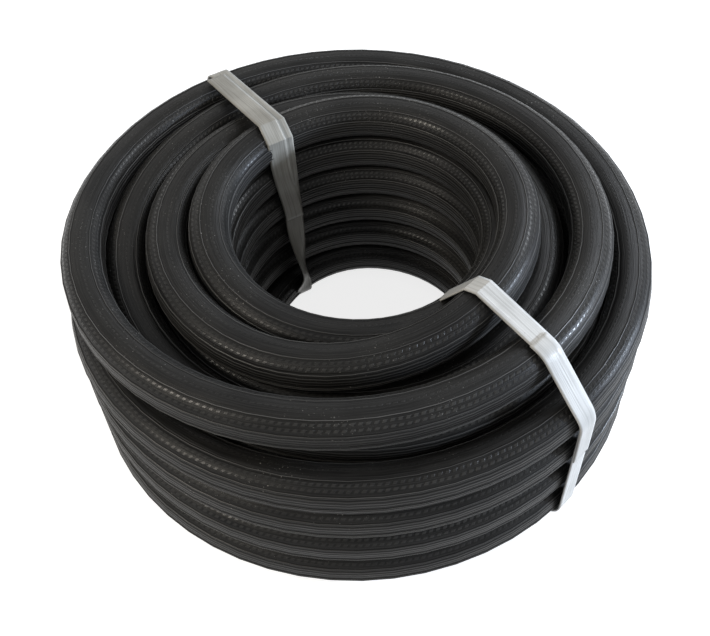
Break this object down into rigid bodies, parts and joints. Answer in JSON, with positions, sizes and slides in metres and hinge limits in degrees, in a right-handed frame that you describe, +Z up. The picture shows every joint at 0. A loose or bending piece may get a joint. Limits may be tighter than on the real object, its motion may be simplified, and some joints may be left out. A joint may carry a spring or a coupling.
{
  "type": "strapped coil of rubber hose",
  "caption": "Coil of thick-walled ribbed rubber hose wound in columns and tied by two flat plastic bands, lying flat.",
  "frame": {"origin": "on the coil's axis, on the floor that the coil lies on", "axes": "+Z up along the coil's axis; -Y is the side nearest the camera in the picture, +X its right side"},
  "size_m": [0.3316, 0.3327, 0.1561],
  "materials": {
    "hose_rubber": "semi-gloss black with fine lengthwise ribs and rows of short cloth marks",
    "liner_rubber": "smooth black",
    "ply_yarn": "undyed woven yarn, seen only at the cuts",
    "band_plastic": "milky, slightly see-through strapping with fine lengthwise lines"
  },
  "bodies": {
    "root": {"hose_coil": "hose_rubber", "inner_end_liner": "liner_rubber", "inner_end_ply": "ply_yarn", "inner_end_cover": "hose_rubber", "outer_end_liner": "liner_rubber", "outer_end_ply": "ply_yarn", "outer_end_cover": "hose_rubber", "band_left": "band_plastic", "band_left_lap": "band_plastic", "band_right": "band_plastic", "band_right_lap": "band_plastic"}
  },
  "joints": []
}
